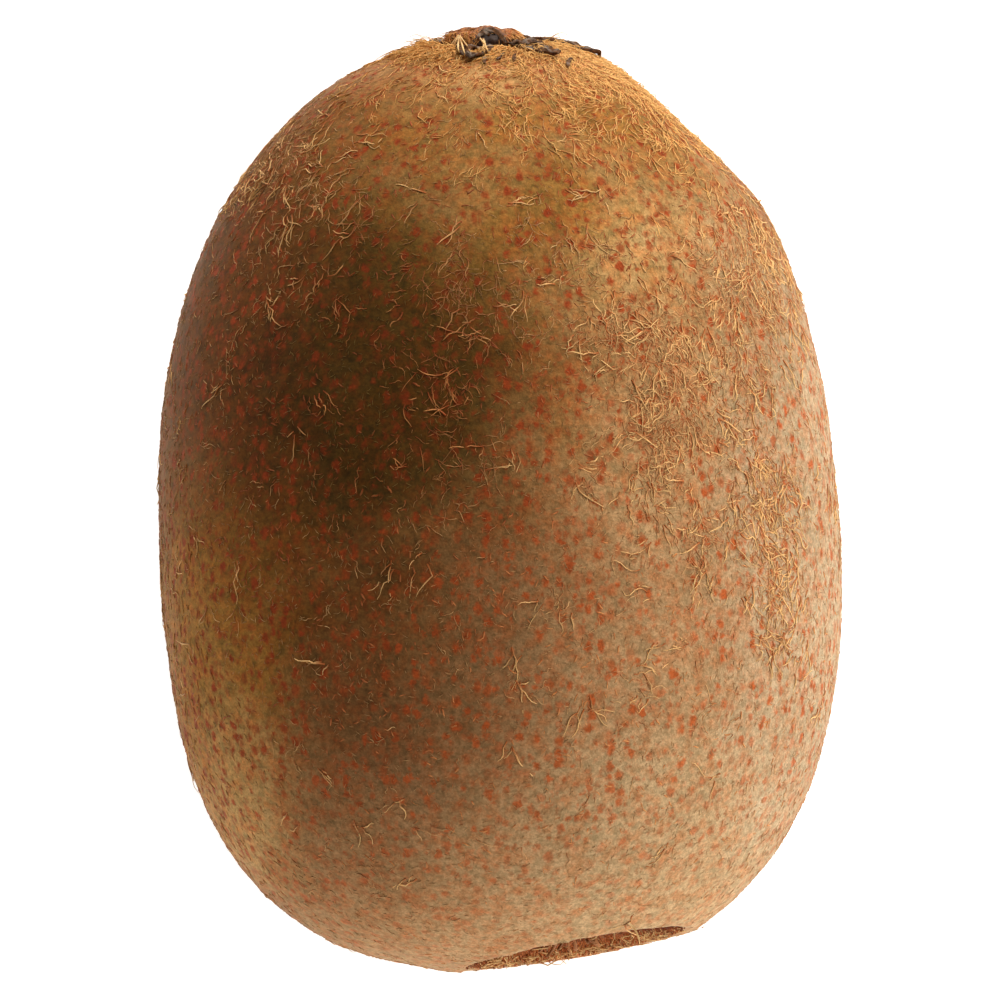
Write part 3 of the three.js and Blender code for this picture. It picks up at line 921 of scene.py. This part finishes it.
def make_stub_fuzz(rng, stub):
    """Short golden-brown hairs combed down over the stub's dome."""
    material = strand_material("stub_fuzz", (0.40, 0.11, 0.025), (0.78, 0.38, 0.11), 0.55, 1.15, 0.8)
    count = 1000
    surface = Surface(stub.data)
    roots, normals = surface.scatter(rng, count, stub_fuzz_density)
    outwards = unit(roots - STUB_CENTRE + np.array([0, -4 * MM, 0]))
    lie = lying_direction(rng, roots, normals, outwards, 2 * MM, 0.25, 63)
    length = rng.uniform(0.40, 1.10, count) * MM
    lines = centre_lines(rng, roots, normals, lie, length, 5, 0.03, 0.9, 0.2, 0.04)
    lines -= normals[:, None] * ((lines - roots[:, None]) ** 2).sum(-1, keepdims=True) / (2 * STUB_CURVE)
    grow(rng, "stub_fuzz", lines, normals, (0.03, 0.05), 0.4, 3, material)


def stub_fuzz_density(points):
    """All over the dome, thickest on the left and thin where the scar is bare."""
    proud = smoothstep(STUB_HIGH[1] - 1.3 * MM, STUB_HIGH[1] - 0.9 * MM, points[:, 1])
    left = smoothstep(STUB_CENTRE[0] + 0.2 * MM, STUB_CENTRE[0] - 1.2 * MM, points[:, 0])
    right = smoothstep(STUB_CENTRE[0] + 1.4 * MM, STUB_CENTRE[0] + 2.2 * MM, points[:, 0])
    return proud * lerp(0.05, 1.0, np.maximum(left, right)) + 1e-9


def sepal_material():
    paint = Paint("dried_sepal")
    veins = paint.noise(0.35 * MM, 4, 0.65)
    colour = paint.mix(paint.between(veins, 0.3, 0.7), (0.020, 0.009, 0.004), (0.185, 0.076, 0.028))
    # Grey patches: partly painted highlights on the dry papery calyx, partly its own grey.
    grey_and_painted_highlight = paint.between(paint.noise(0.7 * MM, 2), 0.50, 0.64, 0, 0.65)
    colour = paint.mix(grey_and_painted_highlight, colour, (0.25, 0.205, 0.165))
    roughness = paint.between(veins, 0.3, 0.7, 0.7, 0.9)
    paint.set(Base_Color=colour, Roughness=roughness, Specular_IOR_Level=0.15)
    paint.bump(veins, 0.08 * MM)
    return paint.material


def make_sepals(material):
    sepals = []
    for number in range(1, SEPALS + 1):
        node = f"sepal_{number}"
        sepal = refined_copy(node, f"dried_{node}", 2)
        points, normals = coordinates(sepal.data), vertex_normals(sepal.data)
        crumple = 0.34 * noise_at(points, 1.0 * MM, 70 + number)
        crumple += 0.18 * noise_at(points, 0.4 * MM, 80 + number)
        outwards = unit(points - STUB_CENTRE + np.array([0, 6 * MM, 0]))
        set_coordinates(sepal.data, points + outwards * ((crumple - 0.24) * MM)[:, None])
        sepal.data.materials.append(material)
        stands_for(sepal, node)
        sepals.append(sepal)
    return sepals


class Draper:
    """Finds the height of the pieces' top over any X and Y, or None beside them."""

    def __init__(self, pieces):
        self.trees = [BVHTree.FromObject(piece, bpy.context.evaluated_depsgraph_get()) for piece in pieces]

    def height(self, x, y):
        above, down = Vector((x, y, FRUIT_HIGH[2] + MM)), Vector((0, 0, -1))
        hits = [tree.ray_cast(above, down)[0] for tree in self.trees]
        return max([hit.z for hit in hits if hit], default=None)


def strip_faces(steps, rows):
    """The faces of a closed strip whose points go in pairs, top and bottom, across it and then along it."""
    faces = []
    row = 2 * (rows + 1)
    for i in range(steps):
        for j in range(rows):
            a = i * row + 2 * j
            faces += [(a, a + 2, a + row + 2, a + row), (a + 1, a + row + 1, a + row + 3, a + 3)]
        near, far = i * row, i * row + 2 * rows
        faces += [(near, near + row, near + row + 1, near + 1), (far, far + 1, far + row + 1, far + row)]
    for first in (0, steps * row):
        for j in range(rows):
            a = first + 2 * j
            faces.append((a, a + 1, a + 3, a + 2) if first == 0 else (a, a + 2, a + 3, a + 1))
    return faces


def scrap_mesh(draper, middle, radius, start, sweep, width, seed):
    """A wrinkled papery strip, curled in plan and draped over what lies below it: points and faces."""
    steps, rows = 14, 4
    points = []
    for i in range(steps + 1):
        share = i / steps
        angle = math.radians(start + sweep * share)
        taper = math.sin(math.pi * (0.12 + 0.82 * share)) ** 0.7
        for j in range(rows + 1):
            across = (j / rows - 0.5) * width * taper
            x = STUB_CENTRE[0] + MM * (middle[0] + (radius + across) * math.cos(angle))
            y = STUB_CENTRE[1] + MM * (middle[1] + (radius + across) * math.sin(angle))
            y = min(y, STUB_HIGH[1] - 0.12 * MM)
            ground = draper.height(x, y)
            wrinkle = noise.noise(Vector((x, y, seed * MM)) / (0.45 * MM))
            lift = MM * (0.32 + 0.22 * wrinkle + 0.25 * j / rows)
            z = (ground if ground is not None else STUB_CENTRE[2]) + lift
            points += [(x, y, z), (x, y, z - SCRAP_THICKNESS)]
    return points, strip_faces(steps, rows)


def make_calyx_scraps(draper, material):
    points, faces = [], []
    for seed, scrap in enumerate(CALYX_SCRAPS):
        more_points, more_faces = scrap_mesh(draper, *scrap, seed)
        faces += [tuple(len(points) + corner for corner in face) for face in more_faces]
        points += more_points
    mesh = bpy.data.meshes.new("calyx_scraps")
    mesh.from_pydata(points, [], faces)
    shade_smooth(mesh)
    mesh.materials.append(material)
    scraps = link(bpy.data.objects.new("calyx_scraps", mesh))
    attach(scraps, "root")


def make_styles(rng):
    """The dried styles: stiff threads that spread from the middle of the dip."""
    material = strand_material("dried_style", (0.14, 0.040, 0.014), (0.36, 0.14, 0.045), 0.7, 1.2)
    count = 40
    turn = rng.uniform(0, 2 * math.pi, count)
    side = unit(np.cross(DIP_AXIS, [0, 0, 1]))
    over = np.cross(DIP_AXIS, side)
    outwards = side * np.cos(turn)[:, None] + over * np.sin(turn)[:, None]
    foot = DIP_CENTRE - DIP_AXIS * 1.1 * MM
    roots = foot + outwards * (rng.uniform(0.1, 1.4, count) * MM)[:, None]
    lie = unit(outwards + DIP_AXIS * rng.uniform(0.5, 1.6, count)[:, None])
    length = rng.uniform(1.8, 3.0, count) * MM
    normals = np.tile(DIP_AXIS, (count, 1))
    lines = centre_lines(rng, roots, normals, lie, length, 8, 0.1, 0.8, 0.25, 0.06)
    styles = grow(rng, "styles", lines, normals, (0.11, 0.19), 0.6, 6, material)
    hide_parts("style_tuft")


# ---------------------------------------------------------------- assembly


def build():
    rng = np.random.default_rng(SEED)
    make_camera()
    make_floor()
    for name, settings in SOFTBOXES.items():
        softbox(name, *settings)
    make_world()
    bpy.context.scene.view_settings.view_transform = "Standard"
    skin = make_skin()
    surface = Surface(skin.data)
    make_bristles(rng, surface)
    make_golden_hairs(rng, surface)
    make_stalk_hairs(rng, surface)
    make_down(rng, surface)
    make_dip_hairs(rng, surface)
    make_dip_straws(rng, surface)
    stub = make_stub()
    make_stub_fuzz(rng, stub)
    dried = sepal_material()
    draper = Draper([skin, stub, *make_sepals(dried)])
    make_calyx_scraps(draper, dried)
    make_pale_hairs(rng, draper)
    make_styles(rng)


build()
